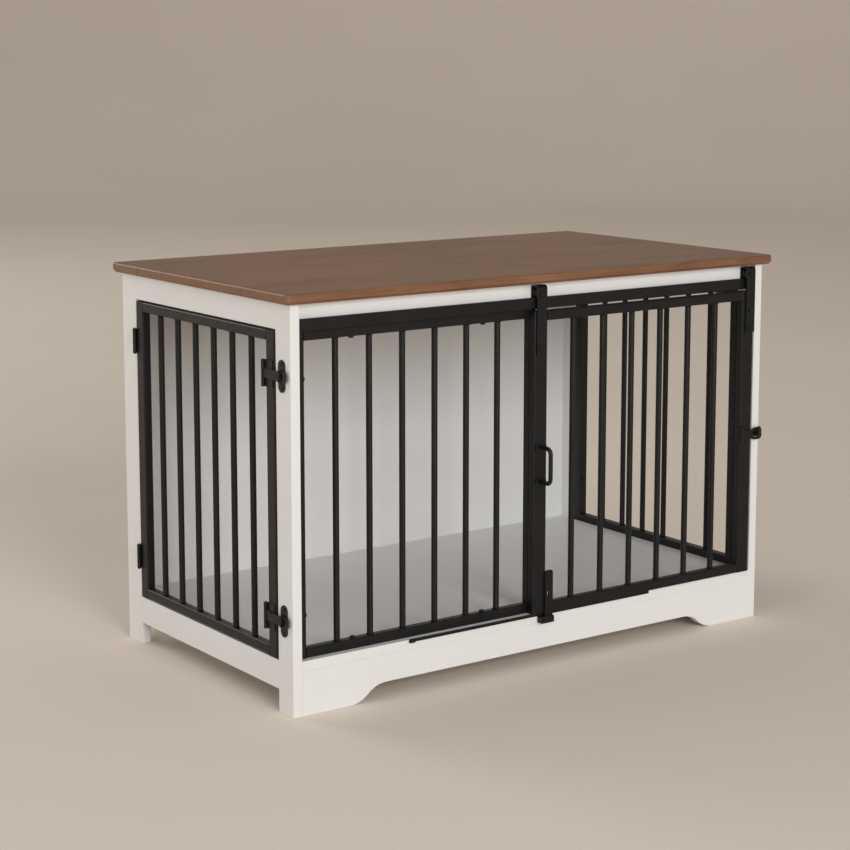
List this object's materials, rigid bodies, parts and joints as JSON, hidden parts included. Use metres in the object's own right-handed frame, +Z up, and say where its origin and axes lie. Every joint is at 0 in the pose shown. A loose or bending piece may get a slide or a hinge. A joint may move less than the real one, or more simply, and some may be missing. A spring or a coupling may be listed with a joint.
{
  "type": "dog crate end table",
  "caption": "Furniture-style dog crate: white wooden body with a wooden top, steel grilles, a sliding barn door in front and a hinged side door with hasps.",
  "frame": {"origin": "on the floor under the middle of the overall box, pull handle counted", "axes": "+X along the front to the right, -Y out of the front, +Z up"},
  "size_m": [1.1, 0.645, 0.72],
  "materials": {
    "walnut_top": "satin lacquered walnut brown wood",
    "white_paint": "satin white paint on board",
    "black_steel": "satin black powder coat",
    "black_nylon": "matte nylon",
    "zinc_steel": "zinc plated",
    "bare_wood": "plain beech"
  },
  "bodies": {
    "cabinet": {"top_panel": "walnut_top", "left_front_post": "white_paint", "left_rear_post": "white_paint", "left_top_rail": "white_paint", "left_bottom_rail": "white_paint", "right_front_post": "white_paint", "right_rear_post": "white_paint", "right_top_rail": "white_paint", "right_bottom_rail": "white_paint", "front_top_rail": "white_paint", "front_apron": "white_paint", "floor_panel": "white_paint", "floor_battens": "white_paint", "back_top_rail": "white_paint", "back_bottom_rail": "white_paint", "back_panel": "white_paint", "dowels": "bare_wood", "top_brackets": "zinc_steel", "bracket_screws": "zinc_steel", "fixed_grille_frame": "black_steel", "fixed_grille_bars": "black_steel", "fixed_grille_screws": "black_steel", "right_grille_frame": "black_steel", "right_grille_bars": "black_steel", "right_grille_screws": "black_steel", "door_track": "black_steel", "track_spacers": "black_steel", "track_screws": "black_steel", "guide_rail": "black_steel", "guide_rail_screws": "black_steel", "door_guide": "black_steel", "door_guide_screw": "black_steel", "keepers": "black_steel", "keeper_screws": "black_steel", "hinge_post_leaves": "black_steel", "hinge_pins": "black_steel"},
    "front_door": {"sliding_door_frame": "black_steel", "sliding_door_bars": "black_steel", "left_hanger": "black_steel", "right_hanger": "black_steel", "hanger_bolts": "black_steel", "roller_axles": "black_steel", "door_handle": "black_steel", "handle_screws": "black_steel", "foot_bolt": "black_steel", "front_hasp_base": "black_steel", "front_hasp_pin": "black_steel"},
    "left_wheel": {"left_roller": "black_nylon"},
    "right_wheel": {"right_roller": "black_nylon"},
    "front_strap": {"front_hasp": "black_steel"},
    "front_button": {"front_turn_button": "black_steel"},
    "side_door": {"side_door_frame": "black_steel", "side_door_bars": "black_steel", "hinge_door_leaves": "black_steel", "side_hasp_bases": "black_steel", "side_hasp_pins": "black_steel"},
    "upper_strap": {"upper_hasp": "black_steel"},
    "upper_button": {"upper_turn_button": "black_steel"},
    "lower_strap": {"lower_hasp": "black_steel"},
    "lower_button": {"lower_turn_button": "black_steel"}
  },
  "joints": [
    {"name": "front_door_slide", "type": "slide", "parent": "cabinet", "child": "front_door", "axis": [-1, 0, 0], "range_m": [0, 0.484]},
    {"name": "left_wheel_spin", "type": "hinge", "parent": "front_door", "child": "left_wheel", "pos_m": [-0.014, -0.281, 0.684], "axis": [0, -1, 0], "continuous": true},
    {"name": "right_wheel_spin", "type": "hinge", "parent": "front_door", "child": "right_wheel", "pos_m": [0.5, -0.281, 0.684], "axis": [0, -1, 0], "continuous": true},
    {"name": "front_strap_swing", "type": "hinge", "parent": "front_door", "child": "front_strap", "pos_m": [0.484, -0.2918, 0.3715], "axis": [0, 0, -1], "range_deg": [0, 170]},
    {"name": "front_button_turn", "type": "hinge", "parent": "cabinet", "child": "front_button", "pos_m": [0.527, -0.2945, 0.3715], "axis": [0, -1, 0], "range_deg": [0, 90]},
    {"name": "side_door_swing", "type": "hinge", "parent": "cabinet", "child": "side_door", "pos_m": [-0.541, 0.254, 0.374], "axis": [0, 0, -1], "range_deg": [0, 165]},
    {"name": "upper_strap_swing", "type": "hinge", "parent": "side_door", "child": "upper_strap", "pos_m": [-0.5413, -0.2045, 0.58], "axis": [0, 0, -1], "range_deg": [0, 170]},
    {"name": "upper_button_turn", "type": "hinge", "parent": "cabinet", "child": "upper_button", "pos_m": [-0.544, -0.2575, 0.58], "axis": [-1, 0, 0], "range_deg": [0, 90]},
    {"name": "lower_strap_swing", "type": "hinge", "parent": "side_door", "child": "lower_strap", "pos_m": [-0.5413, -0.2045, 0.163], "axis": [0, 0, -1], "range_deg": [0, 170]},
    {"name": "lower_button_turn", "type": "hinge", "parent": "cabinet", "child": "lower_button", "pos_m": [-0.544, -0.2575, 0.163], "axis": [-1, 0, 0], "range_deg": [0, 90]}
  ],
  "couplings": [
    {"joint": "left_wheel_spin", "follows": "front_door_slide", "rad_per_m": 133.33},
    {"joint": "right_wheel_spin", "follows": "front_door_slide", "rad_per_m": 133.33}
  ]
}
